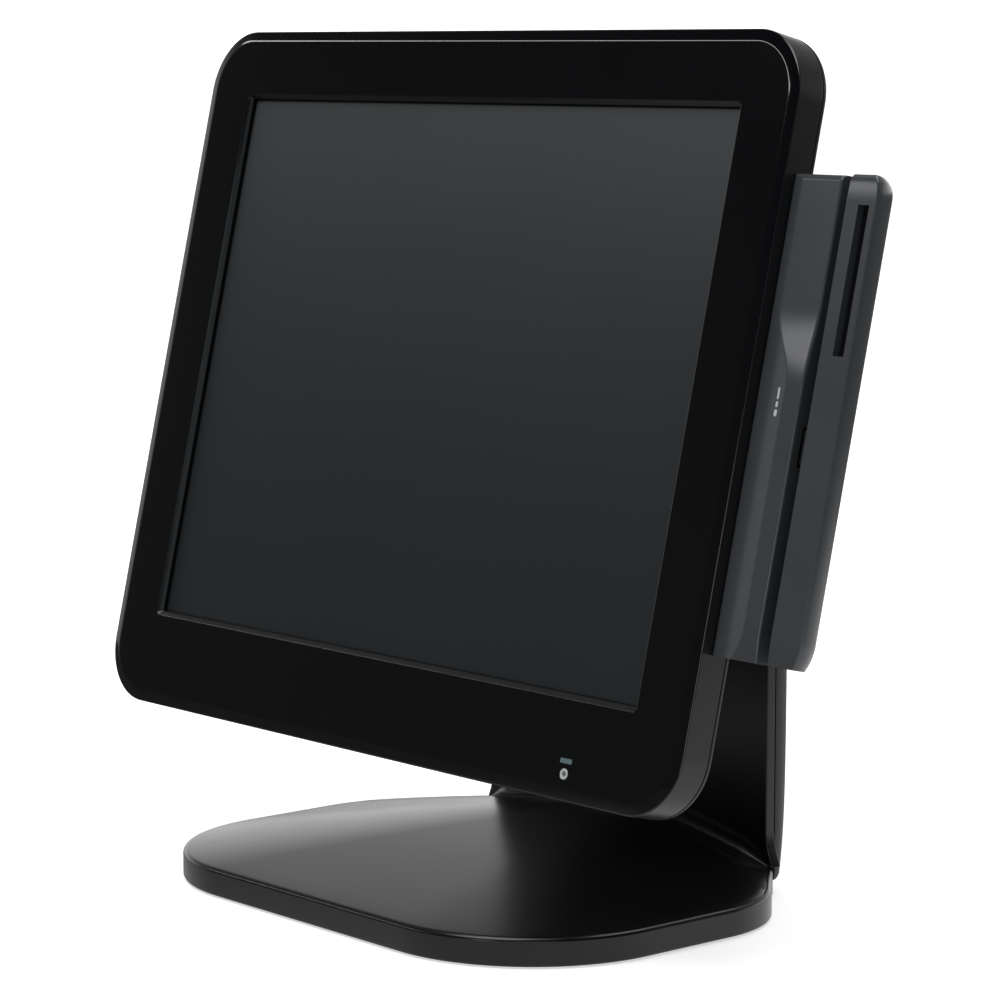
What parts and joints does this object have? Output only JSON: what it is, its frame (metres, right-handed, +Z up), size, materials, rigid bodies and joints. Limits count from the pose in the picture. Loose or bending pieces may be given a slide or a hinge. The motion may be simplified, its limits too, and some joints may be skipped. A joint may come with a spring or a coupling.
{
  "type": "countertop touch terminal",
  "caption": "Countertop point-of-sale touch terminal: tilting flat screen on a broad low stand, with a swipe card reader along its right side.",
  "frame": {"origin": "centre of the whole object's footprint, on the counter", "axes": "+X to the right of a person facing the screen, +Y from that person towards the stand's neck, +Z up"},
  "size_m": [0.4122, 0.1962, 0.3586],
  "materials": {
    "gloss_black": "gloss black moulding",
    "satin_black": "satin black moulding",
    "moulded_black": "fine-textured black moulding",
    "reader_grey": "satin dark grey moulding",
    "touch_glass": "flat glass over a dark display",
    "lcd": "dark display panel",
    "foam_gasket": "black foam",
    "rubber": "black rubber",
    "zinc_steel": "zinc-plated sheet steel",
    "bright_steel": "bright turned steel",
    "black_screws": "blackened steel",
    "cast_iron": "raw cast iron",
    "aluminium": "extruded aluminium",
    "circuit_board": "green solder mask",
    "lamp_white": "white lamp lens",
    "lamp_teal": "grey-green lamp lens",
    "smoked_lens": "smoked plastic window"
  },
  "bodies": {
    "stand": {"base_shell": "satin_black", "bottom_plate": "zinc_steel", "base_weight": "cast_iron", "neck_foot_plate": "zinc_steel", "foot_front_left": "rubber", "foot_front_right": "rubber", "foot_rear_left": "rubber", "foot_rear_right": "rubber", "neck_front_panel": "satin_black", "neck_rear_cover": "moulded_black", "neck_frame": "zinc_steel", "hinge_mount_plate": "zinc_steel", "hinge_ear_left": "zinc_steel", "hinge_ear_right": "zinc_steel", "mount_screw_left": "black_screws", "mount_screw_right": "black_screws"},
    "head": {"back_cover": "moulded_black", "chassis_plate": "zinc_steel", "drawer_port": "zinc_steel", "friction_washer_left": "bright_steel", "friction_washer_right": "bright_steel", "front_bezel": "gloss_black", "glass_gasket": "foam_gasket", "heat_sink": "aluminium", "hinge_lug_left": "zinc_steel", "hinge_lug_right": "zinc_steel", "hinge_nut_left": "bright_steel", "hinge_nut_right": "bright_steel", "hinge_shaft": "bright_steel", "lcd_panel": "lcd", "mainboard": "circuit_board", "network_port": "zinc_steel", "port_plate": "zinc_steel", "power_inlet": "moulded_black", "reader_back_plate": "moulded_black", "reader_board": "circuit_board", "reader_body": "reader_grey", "reader_bracket": "zinc_steel", "reader_rail": "reader_grey", "reader_screw_lower": "bright_steel", "reader_screw_upper": "bright_steel", "reader_window": "smoked_lens", "speaker": "moulded_black", "status_lamp_bar": "lamp_teal", "status_lamp_round": "lamp_white", "touch_glass": "touch_glass", "usb_block": "zinc_steel", "vesa_plate": "zinc_steel", "vesa_screw_lower_left": "black_screws", "vesa_screw_lower_right": "black_screws", "vesa_screw_upper_left": "black_screws", "vesa_screw_upper_right": "black_screws", "video_port": "zinc_steel"},
    "power_button": {"power_button": "moulded_black"},
    "drive_unit": {"drive_door": "moulded_black", "drive_tray": "zinc_steel", "drive": "aluminium"},
    "read_head": {"read_head": "bright_steel"}
  },
  "joints": [
    {"name": "head_tilt", "type": "hinge", "parent": "stand", "child": "head", "pos_m": [-0.02315, 0.0549, 0.203], "axis": [-1, 0, 0], "range_deg": [-13, 45]},
    {"name": "power_button_press", "type": "slide", "parent": "head", "child": "power_button", "axis": [1, 0, 0], "range_m": [0, 0.0012], "stiffness_N_per_m": 1200, "springref_m": -0.0004},
    {"name": "drive_slide", "type": "slide", "parent": "head", "child": "drive_unit", "axis": [-1, 0, 0], "range_m": [0, 0.105]},
    {"name": "read_head_give", "type": "slide", "parent": "head", "child": "read_head", "axis": [1, 0, 0], "range_m": [-0.0008, 0], "stiffness_N_per_m": 200, "springref_m": 0.0005}
  ]
}
